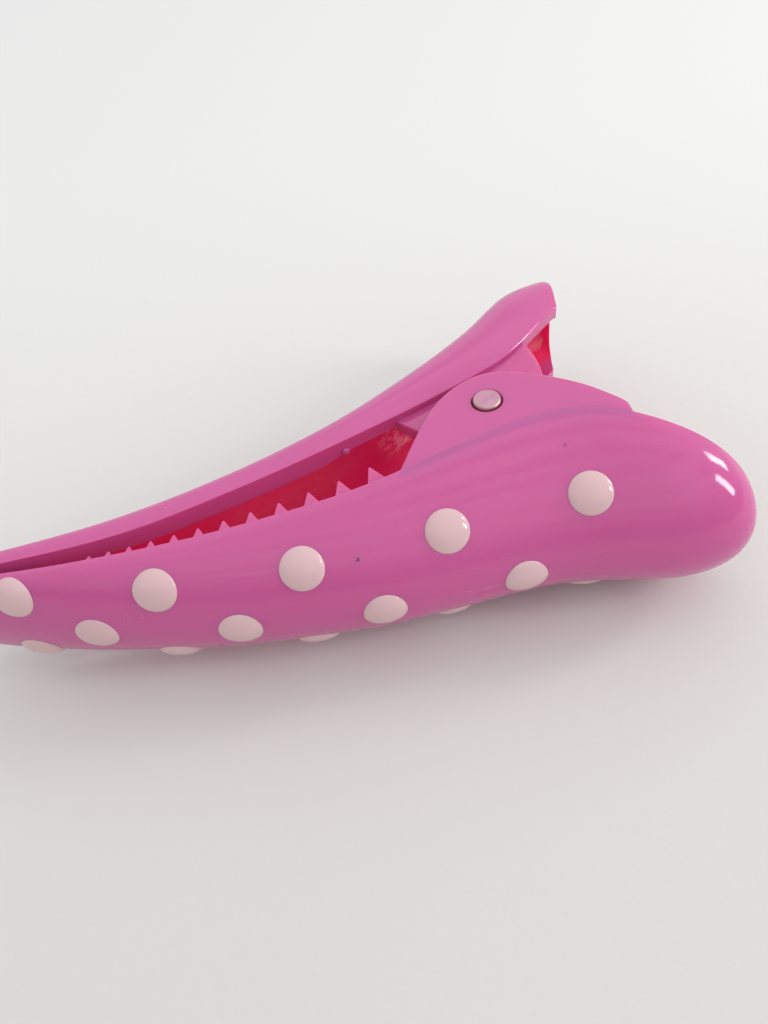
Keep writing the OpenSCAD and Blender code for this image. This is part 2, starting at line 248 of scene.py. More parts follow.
def smooth(a, b, x):
    """0 below a, 1 above b, and a smooth step between them."""
    k = np.clip((x - a) / (b - a), 0, 1)
    return k * k * (3 - 2 * k)


def front_edge(x):
    """Radius of the front rim's edges, which is finest under the ears."""
    under_ear = smooth(-10.2, -9.4, x) * smooth(13.2, 11.6, x)
    return EDGE_R * (1 - 0.75 * under_ear)


def superellipse(t, power):
    """Shares across and down a superellipse of that power at section angle t."""
    across = np.sign(np.cos(t)) * np.abs(np.cos(t)) ** (2 / power)
    return across, np.abs(np.sin(t)) ** (2 / power)


def front_skin(s, t, inset):
    """Superellipse section at s: across by cos t, down from the rim by sin t, closed at both ends
    by a rounding share. The rim stops short by the radius of its edge."""
    x, rim, crown, half = np.moveaxis(curve(FRONT, s), -1, 0)
    tip = -JAW_LEN + (TIP_SOLID if inset else 0)
    end = FRONT_HANDLE - inset
    round_len = END_ROUND - inset
    share = np.minimum(
        rounding(tip + TIP_ROUND - x, TIP_ROUND, 2.2), rounding(x - end + round_len, round_len, 2.4)
    )
    edge = front_edge(x) * np.minimum(1, 3 * share)
    depth = np.maximum(rim - crown - inset, 0.3) * share
    across, deep = superellipse(t, FRONT_POWER)
    y = rim - edge - np.maximum(depth - edge, 0) * deep
    return np.stack(np.broadcast_arrays(x, y, (half - inset) * share * across), -1)


def back_skin(s, t, inset):
    """Boxier superellipse from the rim curve towards the crown curve, closed at the tip only.
    The inner skin also leaves a thicker lip along the jaw."""
    rx, ry, cx, cy, half = np.moveaxis(curve(BACK, s), -1, 0)
    tip = -JAW_LEN + (TIP_SOLID if inset else 0)
    share = rounding(tip + TIP_ROUND - rx, TIP_ROUND, 2.2)
    length = np.hypot(cx - rx, cy - ry)
    ux, uy = (cx - rx) / length, (cy - ry) / length
    lip = LIP * smooth(-12.0, -17.0, rx) if inset else 0
    last = len(BACK) - 1
    edge = (EDGE_R + 0.14 * smooth(-12, -4, rx)) * np.minimum(1, 3 * share)
    edge = edge * smooth(last, last - 0.25, s)
    corner = CROWN_ROUND * (1 - rounding(cx - BACK[-1][2] + CROWN_ROUND, CROWN_ROUND, 2))
    depth = np.maximum(length - inset - corner, 0.3) * share
    across, deep = superellipse(t, BACK_POWER)
    down = edge + np.maximum(depth - edge, 0) * deep
    z = (half - inset - lip) * share * across
    return np.stack(np.broadcast_arrays(rx + ux * down, ry + uy * down, z), -1)


# ---------------------------------------------------------------- mesh making


def grid_faces(rows, cols, wrap_rows=False, wrap_cols=False):
    """Two triangles for each cell of a grid of points stored row by row."""
    i = np.arange(rows if wrap_rows else rows - 1)[:, None]
    j = np.arange(cols if wrap_cols else cols - 1)[None, :]
    a = i * cols + j
    b = (i + 1) % rows * cols + j
    c = (i + 1) % rows * cols + (j + 1) % cols
    d = i * cols + (j + 1) % cols
    near = np.stack([a, b, c], -1).reshape(-1, 3)
    far = np.stack([a, c, d], -1).reshape(-1, 3)
    return np.concatenate([near, far])


class Patches:
    """Collects grids of points in millimetres about the pin, with one mask value a point."""

    def __init__(self):
        self.points, self.faces, self.masks, self.count = [], [], [], 0

    def add(self, grid, mask=0.0, wrap_rows=False, wrap_cols=False):
        """Keeps a grid of points, with its cells as faces."""
        rows, cols = grid.shape[:2]
        self.points.append(grid.reshape(-1, 3))
        self.masks.append(np.broadcast_to(np.asarray(mask, float), (rows, cols)).reshape(-1))
        self.faces.append(grid_faces(rows, cols, wrap_rows, wrap_cols) + self.count)
        self.count += rows * cols

    def fan(self, ring, middle, mask=0.0):
        """Closes a ring of points with a middle point."""
        n = len(ring)
        self.points.append(np.vstack([ring, middle]))
        self.masks.append(np.full(n + 1, float(mask)))
        k = np.arange(n)
        self.faces.append(np.stack([k, (k + 1) % n, np.full(n, n)], -1) + self.count)
        self.count += n + 1


def make_mesh(name, patches, body, stands_for):
    """Welds the patches where they meet, drops faces that came to nothing, turns the faces
    outwards and puts the piece on its body."""
    points = np.concatenate(patches.points)
    masks = np.concatenate(patches.masks)
    faces = np.concatenate(patches.faces)
    _, first, back = np.unique(np.round(points, 4), axis=0, return_index=True, return_inverse=True)
    faces = back.reshape(-1)[faces]
    points, masks = points[first], masks[first]
    good = (
        (faces[:, 0] != faces[:, 1]) & (faces[:, 1] != faces[:, 2]) & (faces[:, 2] != faces[:, 0])
    )
    faces = faces[good]
    mesh = bpy.data.meshes.new(name)
    mesh.from_pydata(((points + PIN) * MM).tolist(), [], faces.tolist())
    # The inside mask becomes a point attribute; the plastic paints bounce light and a red glow where
    # it is high.
    inside = mesh.attributes.new("inside", "FLOAT", "POINT")
    inside.data.foreach_set("value", masks.astype(np.float32))
    work = bmesh.new()
    work.from_mesh(mesh)
    loose = [v for v in work.verts if not v.link_faces]
    bmesh.ops.delete(work, geom=loose, context="VERTS")
    bmesh.ops.recalc_face_normals(work, faces=work.faces)
    work.to_mesh(mesh)
    work.free()
    mesh.shade_smooth()
    mesh.set_sharp_from_angle(angle=math.radians(SHARP_ANGLE))
    piece = bpy.data.objects.new(name, mesh)
    bpy.context.scene.collection.objects.link(piece)
    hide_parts(stands_for)
    if body:
        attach(piece, body)
    return piece


def spread(lo, hi):
    """Stations from lo to hi, closer together at both ends."""
    even = np.linspace(0, 1, STATIONS + 1)
    crowded = (1 - np.cos(np.pi * even)) / 2
    return lo + (hi - lo) * ((1 - CROWDING) * even + CROWDING * crowded)


def rim_strip(outer, inner, edge_outer, edge_inner, rim_at, up):
    """Flat rim between the top lines of the two skins, with a quarter round at each edge."""
    quarter = np.linspace(0, np.pi / 2, 5)[:-1]
    gap = inner - outer
    length = np.linalg.norm(gap, axis=-1, keepdims=True)
    unit = gap / np.maximum(length, 1e-9)
    eo = np.minimum(edge_outer[:, None], length / 2.2)
    ei = np.minimum(edge_inner[:, None], length / 2.2)
    rows = []
    for q in quarter:
        rows.append(outer + unit * eo * (1 - np.cos(q)) + up * edge_outer[:, None] * np.sin(q))
    start = outer + unit * eo
    stop = inner - unit * ei
    for w in np.linspace(0, 1, 7):
        p = start + (stop - start) * w
        rows.append(rim_at(p, w, edge_outer, edge_inner))
    for q in quarter[::-1]:
        rows.append(inner - unit * ei * (1 - np.cos(q)) + up * edge_inner[:, None] * np.sin(q))
    return np.stack(rows, 1)


def round_angles(power):
    """Section angles that space the points of a superellipse of that power evenly."""
    near_rim = [0, 0.004, 0.02]
    turn = np.linspace(0, np.pi, STEPS + 1)[1:-1]
    turn = np.concatenate([near_rim, turn, np.pi - np.array(near_rim)[::-1]])
    down = np.abs(np.sin(turn)) ** (power / 2)
    across = np.sign(np.cos(turn)) * np.abs(np.cos(turn)) ** (power / 2)
    angles = np.arctan2(down, across)
    angles[0], angles[-1] = 0, np.pi
    return angles


def pole(grid, row):
    """Gathers one end row of a grid in a single point."""
    grid[row] = grid[row].mean(0)


def shell_strips(patches, outer, inner, rim_y, ups):
    """Rims of a shell along both sides, between the first and last columns of its two skins."""
    for column in (0, -1):
        a, b = outer[:, column], inner[:, column]
        edge_a = np.abs((rim_y(a[:, 0]) - a[:, 1]) / ups[:, 1])
        edge_b = np.abs((rim_y(b[:, 0]) - b[:, 1]) / ups[:, 1])

        def rim_at(p, w, eo, ei):
            lifted = p + ups * ((1 - w) * eo + w * ei)[:, None]
            lifted[:, 1] = rim_y(lifted[:, 0])
            return lifted

        patches.add(rim_strip(a, b, edge_a, edge_b, rim_at, ups))


# ---------------------------------------------------------------- ears and teeth


def outline_radius(points, angle):
    """Distance from the pin to a closed outline of points, in the direction of each angle."""
    around = np.arctan2(points[:, 1], points[:, 0])
    order = np.argsort(around)
    return np.interp(angle, around[order], np.hypot(*points[order].T), period=2 * np.pi)


def ear_plate(patches, outline, hole, z_in, z_out, side, fillet, mask):
    """Plate round the pin: a ring of sections, each running up the hole, out over the face,
    round the outer edge and back over the inner face. z_out gives the face's height at x, y."""
    turns = 180
    angle = np.linspace(-np.pi, np.pi, turns, endpoint=False)
    reach = outline_radius(outline, angle)
    bend = np.linspace(0, np.pi / 2, 6)
    radial, level = [], []
    for q in bend:
        radial.append(np.full(turns, hole + HOLE_ROUND * (1 - np.cos(q))))
        level.append(-HOLE_ROUND * (1 - np.sin(q)))
    for w in np.linspace(0, 1, 15)[1:]:
        radial.append(hole + HOLE_ROUND + (reach - fillet - hole - HOLE_ROUND) * w)
        level.append(0)
    for q in bend[1:]:
        radial.append(reach - fillet * (1 - np.sin(q)))
        level.append(-fillet * (1 - np.cos(q)))
    rows = []
    for r, drop in zip(radial, level):
        x, y = r * np.cos(angle), r * np.sin(angle)
        rows.append(np.stack([x, y, side * (z_out(x, y) + drop)], -1))
    level_in = np.full(turns, side * z_in)
    for w in np.linspace(1, 0, 9):
        r = hole + (reach - 0.12 - hole) * w
        rows.append(np.stack([r * np.cos(angle), r * np.sin(angle), level_in], -1))
    patches.add(np.stack(rows), mask, wrap_rows=True, wrap_cols=True)


def front_flank(x):
    """How far out the front shell's flank stands at x, at its rim."""
    return front_skin(front_s(x), np.array(0.0), 0)[..., 2]


def ear_outline(rows, rim, sink):
    """Free edge of an ear as a curve through its rows, closed by a root line along the rim."""
    free = curve(rows, np.linspace(0, len(rows) - 1, 160))
    x = np.linspace(free[-1, 0], free[0, 0], 80)
    return np.vstack([free, np.stack([x, rim(x) + sink], -1)])


def front_ears(patches):
    """Two ears that rise from the front flanks and are flush with them."""
    outline = ear_outline(FRONT_EAR, front_rim, -EAR_ROOT)

    def face(x, y):
        sunk = np.maximum(0, front_rim(x) - y)
        return front_flank(x) - 0.02 - 0.35 * sunk

    for side in (1, -1):
        ear_plate(patches, outline, FRONT_HOLE_R, EAR_OUT - EAR_T, face, side, FRONT_EAR_ROUND, 0.0)


def back_ears(patches):
    """Two ears that reach down from the back flanks, inside the front ears."""
    outline = ear_outline(BACK_EAR, back_rim, EAR_ROOT)
    inner = BACK_HALF - BACK_EAR_IN - BACK_EAR_T

    def face(x, y):
        return np.full(x.shape, inner + BACK_EAR_T)

    for side in (1, -1):
        # The back ears take a little of the painted inner bounce light (mask 0.1).
        ear_plate(patches, outline, BACK_HOLE_R, inner, face, side, BACK_EAR_ROUND, 0.1)


def tooth_outline(half, root, height):
    """Closed outline of a tooth: straight root, slanted sides and a rounded point."""
    tip = TOOTH_TIP_R * min(1, height / 1.6)
    slope = math.atan2(height, half)
    turn = np.linspace(np.pi / 2 - slope, slope - np.pi / 2, 9)
    centre = height - tip / math.cos(slope)
    arc = np.stack([tip * np.sin(turn), centre + tip * np.cos(turn)], -1)
    return np.vstack([[[half, -root], [half, 0]], arc, [[-half, 0], [-half, -root]]])


def add_prism(patches, outline, low, high, place, mask):
    """Prism of an outline between two heights, with a fine bevel round both faces."""
    middle = outline.mean(0)
    levels = [(low, 0.9), (low + 0.1, 1), (high - 0.1, 1), (high, 0.9)]
    rows = [
        place(np.column_stack([middle + (outline - middle) * k, np.full(len(outline), z)]))
        for z, k in levels
    ]
    patches.add(np.stack(rows), mask, wrap_cols=True)
    patches.fan(rows[0], place(np.array([[*middle, low]])), mask)
    patches.fan(rows[-1], place(np.array([[*middle, high]])), mask)


def front_teeth(patches):
    """Twelve teeth a side, square to the rim. Each is smaller than the last by the same share,
    and so is its distance to the next."""
    for i in range(TOOTH_COUNT):
        size = TOOTH_SHRINK**i
        x = FIRST_TOOTH - TOOTH_PITCH * (1 - size) / (1 - TOOTH_SHRINK)
        slope = math.atan2(front_rim(x + 0.3) - front_rim(x - 0.3), 0.6)
        c, s = math.cos(slope), math.sin(slope)
        outline = tooth_outline(0.39 * TOOTH_PITCH * size, TOOTH_ROOT, TOOTH_HEIGHT * size)
        high = float(front_half(x)) - TOOTH_FROM_FLANK

        for side in (1, -1):

            def place(p):
                turned = [x + p[:, 0] * c - p[:, 1] * s, front_rim(x) + p[:, 0] * s + p[:, 1] * c]
                return np.stack([*turned, side * p[:, 2]], -1)

            # The teeth take a little of the painted inner bounce light (mask 0.15).
            add_prism(patches, outline, high - TOOTH_THICK, high, place, 0.15)


# ---------------------------------------------------------------- the two halves


def make_front_shell():
    """Front shell with its rims, ears and teeth."""
    t = round_angles(FRONT_POWER)[None, :]
    s_out = spread(0, len(FRONT) - 1)
    s_in = spread(front_s(-JAW_LEN + TIP_SOLID), front_s(FRONT_HANDLE - WALL))
    outer = front_skin(s_out[:, None], t, 0)
    inner = front_skin(s_in[:, None], t, WALL)
    for grid in (outer, inner):
        pole(grid, 0)
        pole(grid, -1)
        grid[0, :, 1] = front_rim(grid[0, 0, 0])
        grid[-1, :, 1] = front_rim(grid[-1, 0, 0])
    patches = Patches()
    patches.add(outer)
    # The inner skin's mask runs from 0 at the rim to 1 further in and places the painted bounce
    # light inside the shell.
    patches.add(inner, smooth(0, 0.3, np.sin(t)))
    ups = np.tile([0.0, 1.0, 0.0], (len(s_out), 1))
    shell_strips(patches, outer, inner, front_rim, ups)
    front_ears(patches)
    front_teeth(patches)
    return make_mesh("front_shell_skin", patches, "front_half", "front_shell")


def gate_nub(patches):
    """Small round stub left by moulding on the jaw's lip, in front of the ears."""
    out = np.array([0.35, -0.93, 0.1])
    out /= np.linalg.norm(out)
    first = np.cross(out, [0, 0, 1])
    first /= np.linalg.norm(first)
    second = np.cross(out, first)
    base = np.array([-13.9, 0.3, 4.9])
    turn = np.linspace(0, 2 * np.pi, 24, endpoint=False)[:, None]
    ring = first * np.cos(turn) + second * np.sin(turn)
    profile = [(0.12, 0.42), (0.3, 0.38), (0.4, 0.28), (0.42, 0.12), (0.42, -0.3)]
    rows = [base + r * ring + rise * out for r, rise in profile]
    patches.add(np.stack(rows), wrap_cols=True)
    patches.fan(rows[0], (base + 0.43 * out)[None, :])
    patches.fan(rows[-1], (base - 0.3 * out)[None, :])


def make_back_shell():
    """Back shell with its rims, its open handle end and its ears."""
    last = len(BACK) - 1
    t = round_angles(BACK_POWER)[None, :]
    s_out = spread(0, last)
    s_in = spread(back_s(-JAW_LEN + TIP_SOLID), last)
    outer = back_skin(s_out[:, None], t, 0)
    inner = back_skin(s_in[:, None], t, WALL)
    for grid in (outer, inner):
        pole(grid, 0)
        grid[0, :, 1] = back_rim(grid[0, 0, 0])
    patches = Patches()
    patches.add(outer)
    # The inner skin's mask runs from 0 at the rim to 1 further in and places the painted bounce
    # light inside the shell.
    patches.add(inner, smooth(0, 0.3, np.sin(t)))
    rx, ry, cx, cy, _ = curve(BACK, s_out).T
    length = np.hypot(cx - rx, cy - ry)
    ups = np.stack([(rx - cx) / length, (ry - cy) / length, 0 * rx], -1)
    shell_strips(patches, outer, inner, back_rim, ups)
    out_end, in_end = outer[-1], inner[-1]
    ahead = out_end - outer[-4]
    ahead /= np.linalg.norm(ahead, axis=-1, keepdims=True)
    edge = 0.22 * smooth(0, 0.5, np.sin(t[0]))

    def end_at(p, w, eo, ei):
        return p + ahead * eo[:, None]

    patches.add(rim_strip(out_end, in_end, edge, edge, end_at, ahead))
    back_ears(patches)
    gate_nub(patches)
    return make_mesh("back_shell_skin", patches, "back_half", "back_shell")


# ---------------------------------------------------------------- dots, pin and spring


def frame_at(s, t):
    """Point, outward normal and two tangents of the front skin."""
    point = front_skin(s, t, 0)
    along_s = front_skin(s + 0.01, t, 0) - front_skin(s - 0.01, t, 0)
    along_t = front_skin(s, t + 0.01, 0) - front_skin(s, t - 0.01, 0)
    normal = np.cross(along_t, along_s)
    normal /= np.linalg.norm(normal)
    first = along_s / np.linalg.norm(along_s)
    return point, normal, first, np.cross(normal, first)


def land(s0, t0, middle, first, second, u, v):
    """Skin points whose offsets from the middle along the two tangents are u and v."""
    s, t = np.full(u.shape, float(s0)), np.full(u.shape, float(t0))
    for _ in range(8):
        here = front_skin(s, t, 0) - middle
        ds = (front_skin(s + 1e-3, t, 0) - front_skin(s - 1e-3, t, 0)) / 2e-3
        dt = (front_skin(s, t + 1e-3, 0) - front_skin(s, t - 1e-3, 0)) / 2e-3
        a, b, c, d = ds @ first, dt @ first, ds @ second, dt @ second
        eu, ev = u - here @ first, v - here @ second
        det = a * d - b * c
        s = s + (d * eu - b * ev) / det
        t = t + (a * ev - c * eu) / det
    return front_skin(s, t, 0)


def make_dot(name, x, t):
    """Raised dot: a low round dome over the skin, closed below it."""
    s = float(front_s(x))
    middle, normal, first, second = frame_at(np.array(s), np.array(t))
    turn = np.linspace(0, 2 * np.pi, 72, endpoint=False)
    rows = []
    for share in np.sin(np.linspace(0, np.pi / 2, 26))[1:]:
        u, v = DOT_R * share * np.cos(turn), DOT_R * share * np.sin(turn)
        base = land(s, t, middle, first, second, u, v)
        rise = DOT_H * (1 - share**2) ** DOT_DOME
        rows.append(base + normal * rise)
    skirt = rows[-1] - normal * DOT_SKIRT
    patches = Patches()
    patches.add(np.stack(rows + [skirt]), wrap_cols=True)
    patches.fan(rows[0], (middle + normal * DOT_H)[None, :])
    patches.fan(skirt, skirt.mean(0)[None, :])
    return make_mesh(name + "_dome", patches, "front_half", name)


def make_dots():
    """Five dots along each shoulder and four along the crown."""
    first, last = -JAW_LEN + FIRST_DOT, LAST_DOT
    quarter = math.pi / 4
    made = []
    for i in range(5):
        x = first + (last - first) * i / 4
        made.append(make_dot(f"upper_dot_{i + 1}", x, quarter))
        made.append(make_dot(f"lower_dot_{i + 1}", x, 3 * quarter))
    for i in range(4):
        x = first + (last - first) * (i + 0.5) / 4
        made.append(make_dot(f"crown_dot_{i + 1}", x, 2 * quarter))
    return made


def make_pin():
    """Round pin with gently domed ends and rolled edges."""
    half = EAR_OUT + PIN_PROUD
    flat = PIN_R - PIN_ROLL
    r = np.linspace(0.1, flat, 9)
    dome = np.column_stack([r, half - PIN_DOME * (r / flat) ** 2])
    q = np.linspace(0, np.pi / 2, 9)[1:]
    down = PIN_DOME + PIN_ROLL * (1 - np.cos(q))
    roll = np.column_stack([flat + PIN_ROLL * np.sin(q), half - down])
    top = np.vstack([dome, roll])
    shank = np.column_stack([np.full(20, PIN_R), np.linspace(8, -8, 20)])
    both = np.vstack([top, shank, top[::-1] * [1, -1]])
    turn = np.linspace(0, 2 * np.pi, 64, endpoint=False)
    rows = [np.column_stack([r * np.cos(turn), r * np.sin(turn), np.full(64, z)]) for r, z in both]
    patches = Patches()
    patches.add(np.stack(rows), wrap_cols=True)
    patches.fan(rows[0], np.array([[0, 0, half]]))
    patches.fan(rows[-1], np.array([[0, 0, -half]]))
    return make_mesh("hinge_pin_turned", patches, "front_half", "hinge_pin")


def make_spring():
    """Wire swept along a leg, six turns of coil and another leg, with rounded ends."""
    k = np.linspace(0, 1, COIL_TURNS * 40 + 1)
    a = math.radians(COIL_START) + math.radians(COIL_SWEEP) * k
    coil = np.column_stack([COIL_R * np.cos(a), COIL_R * np.sin(a), COIL_LEN * (k - 0.5)])

    def leg(end, angle, length):
        ways = np.linspace(0.4, length, 24)[:, None]
        way = np.array([math.cos(math.radians(angle)), math.sin(math.radians(angle)), 0])
        return end + ways * way

    path = np.vstack([leg(coil[0], *FRONT_LEG)[::-1], coil, leg(coil[-1], *BACK_LEG)])
    ahead = np.gradient(path, axis=0)
    ahead /= np.linalg.norm(ahead, axis=1, keepdims=True)
    side = np.cross(ahead, [0, 0, 1])
    side /= np.linalg.norm(side, axis=1, keepdims=True)
    up = np.cross(side, ahead)
    turn = np.linspace(0, 2 * np.pi, 16, endpoint=False)
    ring = side[:, None] * np.cos(turn)[None, :, None] + up[:, None] * np.sin(turn)[None, :, None]
    rows = path[:, None] + WIRE_R * ring
    caps = []
    for end, sign in ((0, -1), (-1, 1)):
        rounds = [
            path[end] + WIRE_R * (0.35 * math.sin(q) * sign * ahead[end] + math.cos(q) * ring[end])
            for q in np.linspace(0, 1.3, 5)[1:]
        ]
        caps.append(rounds)
    rows = np.concatenate([np.array(caps[0][::-1]), rows, np.array(caps[1])])
    patches = Patches()
    patches.add(rows, wrap_cols=True)
    patches.fan(rows[0], rows[0].mean(0)[None, :])
    patches.fan(rows[-1], rows[-1].mean(0)[None, :])
    spring = make_mesh("spring_wire", patches, None, "torsion_spring")
    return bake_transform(spring)


front_piece = make_front_shell()
back_piece = make_back_shell()
dot_pieces = make_dots()
pin_piece = make_pin()
spring_piece = make_spring()


# ---------------------------------------------------------------- materials


class Nodes:
    """A short way to place and join nodes in one tree."""

    def __init__(self, tree):
        self.tree = tree

    def add(self, kind, **values):
        """A node with its own settings, and its inputs by name: a value, or an output to join."""
        inputs = values.pop("inputs", {})
        node = self.tree.nodes.new("ShaderNode" + kind)
        for key, value in values.items():
            setattr(node, key, value)
        for key, value in inputs.items():
            if isinstance(value, bpy.types.NodeSocket):
                self.tree.links.new(value, node.inputs[key])
            else:
                node.inputs[key].default_value = value
        return node

    def math(self, operation, a, b=0.0):
        """Arithmetic on one or two values, named by its operation."""
        return self.add("Math", operation=operation, inputs={0: a, 1: b}).outputs[0]

    def ramp(self, value, lo, hi, to_lo=0.0, to_hi=1.0):
        """Smooth step from to_lo, where the value is lo, to to_hi, where it is hi."""
        inputs = {"Value": value, "From Min": lo, "From Max": hi, "To Min": to_lo, "To Max": to_hi}
        node = self.add("MapRange", interpolation_type="SMOOTHSTEP", inputs=inputs)
        return node.outputs["Result"]

    def mix(self, share, a, b):
        """Colour a where the share is 0, and colour b where it is 1."""
        return self.add("Mix", data_type="RGBA", inputs={0: share, 6: a, 7: b}).outputs[2]

    def noise(self, place, scale, detail=2.0, rough=0.5):
        """Cloudy value from about 0 to 1."""
        inputs = {"Vector": place, "Scale": scale, "Detail": detail, "Roughness": rough}
        return self.add("TexNoise", inputs=inputs).outputs[0]

    def group(self, tree, place, **values):
        """A shared group, read at a place, with its own values."""
        node = self.add("Group", node_tree=tree)
        self.tree.links.new(place, node.inputs["Place"])
        for key, value in values.items():
            node.inputs[key].default_value = value
        return node.outputs

    def bump(self, height, strength, distance):
        """Normal of a surface raised by a height."""
        inputs = {"Strength": strength, "Distance": distance, "Height": height}
        return self.add("Bump", inputs=inputs).outputs[0]

    def feed(self, shader, **values):
        """Joins outputs to a shader's sockets, or sets their values; _ stands for a space."""
        for key, value in values.items():
            socket = shader.inputs[key.replace("_", " ")]
            if isinstance(value, bpy.types.NodeSocket):
                self.tree.links.new(value, socket)
            else:
                socket.default_value = value


def new_group(name, inputs, outputs):
    """A shared shader group with its sockets, its nodes helper, and its two ends."""
    tree = bpy.data.node_groups.new(name, "ShaderNodeTree")
    for socket, kind, value in inputs:
        made = tree.interface.new_socket(socket, in_out="INPUT", socket_type="NodeSocket" + kind)
        if value is not None:
            made.default_value = value
    for socket, kind in outputs:
        tree.interface.new_socket(socket, in_out="OUTPUT", socket_type="NodeSocket" + kind)
    start = tree.nodes.new("NodeGroupInput")
    end = tree.nodes.new("NodeGroupOutput")
    return tree, Nodes(tree), start, end


def moulding_group():
    """Height of a moulded face: slow sink waves, a finer ripple and a faint grain."""
    tree, n, start, end = new_group(
        "moulding", [("Place", "Vector", None), ("Amount", "Float", 1.0)], [("Height", "Float")]
    )
    place = start.outputs["Place"]
    slow = n.noise(place, 90.0, 1.0)
    fine = n.math("MULTIPLY", n.noise(place, 420.0, 2.0), 0.22)
    grain = n.math("MULTIPLY", n.noise(place, 5200.0, 2.0), 0.012)
    total = n.math("ADD", n.math("ADD", slow, fine), grain)
    tree.links.new(n.math("MULTIPLY", total, start.outputs["Amount"]), end.inputs["Height"])
    return tree


def wear_group():
    """Hairline scratches and stray specks of dust: shares from 0 to 1."""
    tree, n, start, end = new_group(
        "wear", [("Place", "Vector", None)], [("Scratch", "Float"), ("Speck", "Float")]
    )
    place = start.outputs["Place"]
    found = None
    for turn, stretch, seed in ((0.5, 9.0, 1.7), (-0.9, 11.0, 5.2)):
        inputs = {
            "Vector": place, "Location": (seed, seed, seed), "Rotation": (0.4, turn, turn * 2),
            "Scale": (60.0, 60.0 * stretch, 60.0 * stretch),
        }
        moved = n.add("Mapping", inputs=inputs).outputs[0]
        lines = n.noise(moved, 2.0, 2.0, 0.4)
        thin = n.ramp(n.math("ABSOLUTE", n.math("SUBTRACT", lines, 0.5)), 0.0035, 0.001)
        aside = n.add("VectorMath", operation="ADD", inputs={0: place, 1: (seed, 0.0, seed)})
        some = n.ramp(n.noise(aside.outputs[0], 70.0), 0.6, 0.68)
        share = n.math("MULTIPLY", thin, some)
        found = share if found is None else n.math("MAXIMUM", found, share)
    tree.links.new(found, end.inputs["Scratch"])
    cells = n.add("TexVoronoi", inputs={"Vector": place, "Scale": 150.0, "Randomness": 1.0})
    near = n.ramp(cells.outputs["Distance"], 0.035, 0.015)
    lot = n.add("SeparateColor", inputs={0: cells.outputs["Color"]}).outputs[0]
    chosen = n.ramp(lot, 0.9, 0.92)
    tree.links.new(n.math("MULTIPLY", near, chosen), end.inputs["Speck"])
    return tree


def new_material(name):
    """An empty node material: its helper, its principled shader and its object coordinates."""
    material = bpy.data.materials.new(name)
    material.use_nodes = True
    n = Nodes(material.node_tree)
    shader = material.node_tree.nodes["Principled BSDF"]
    place = n.add("TexCoord").outputs["Object"]
    return material, n, shader, place


def spot(n, place, at, lo, hi):
    """Share from 1 near a point to 0 away from it; at is in millimetres about the pin."""
    where = tuple((PIN + np.array(at)) * MM)
    away = n.add("VectorMath", operation="DISTANCE", inputs={0: place, 1: where}).outputs["Value"]
    return n.ramp(away, hi * MM, lo * MM)


# Dark flecks on the front shell: place about the pin and radius.
FLECKS = [((-14.6, -13.35, 5.1), 0.32), ((5.4, -7.2, 8.15), 0.22), ((-4.2, -4.9, 8.4), 0.16)]


def pink_plastic(moulding, wear):
    """Glossy pink plastic, opaque, with painted bounce light inside the shells: a deeper red colour
    and a faint red glow on the inner faces.
    """
    material, n, shader, place = new_material("pink_plastic")
    inside = n.add("Attribute", attribute_name="inside").outputs["Fac"]
    mottle = n.noise(place, 45.0, 2.0)
    skin = n.mix(mottle, (0.565, 0.082, 0.285, 1), (0.615, 0.10, 0.32, 1))
    # Painted bounce light: the inner faces are painted a deeper, redder pink for the light thrown
    # back and forth between the pink walls.
    deep = n.mix(mottle, (0.66, 0.03, 0.105, 1), (0.72, 0.045, 0.135, 1))
    colour = n.mix(inside, skin, deep)
    marks = n.group(wear, place)
    scratch, speck = marks["Scratch"], marks["Speck"]
    colour = n.mix(n.math("MULTIPLY", scratch, 0.25), colour, (0.85, 0.5, 0.68, 1))
    colour = n.mix(n.math("MULTIPLY", speck, 0.75), colour, (0.16, 0.03, 0.08, 1))
    frost = spot(n, place, (-8.6, 6.6, -0.6), 0.6, 3.4)
    patchy = n.ramp(n.noise(place, 900.0, 4.0, 0.7), 0.45, 0.62)
    frost = n.math("MULTIPLY", n.math("MULTIPLY", frost, patchy), inside)
    colour = n.mix(n.math("MULTIPLY", frost, 0.8), colour, (0.88, 0.56, 0.62, 1))
    for at, size in FLECKS:
        fleck = spot(n, place, at, 0.4 * size, size)
        ragged = n.ramp(n.noise(place, 3200.0, 2.0), 0.42, 0.52)
        colour = n.mix(n.math("MULTIPLY", fleck, ragged), colour, (0.13, 0.03, 0.07, 1))
    rough = n.math("ADD", n.math("MULTIPLY", scratch, 0.25), n.math("MULTIPLY", frost, 0.3))
    rough = n.math("ADD", rough, n.ramp(n.noise(place, 130.0, 3.0), 0.3, 0.8, 0.085, 0.13))
    # Painted glow: the inner faces also glow a faint red for the same bounce light.
    inner_bounce_glow = n.mix(inside, (0, 0, 0, 1), (0.20, 0.004, 0.032, 1))
    height = n.group(moulding, place)["Height"]
    n.feed(
        shader, Base_Color=colour, Roughness=rough, IOR=1.58,
        Emission_Color=inner_bounce_glow, Emission_Strength=0.7,
        Subsurface_Weight=0.35, Subsurface_Radius=(1.0, 0.15, 0.35), Subsurface_Scale=0.002,
        Normal=n.bump(height, 0.35, 0.00012),
    )
    return material


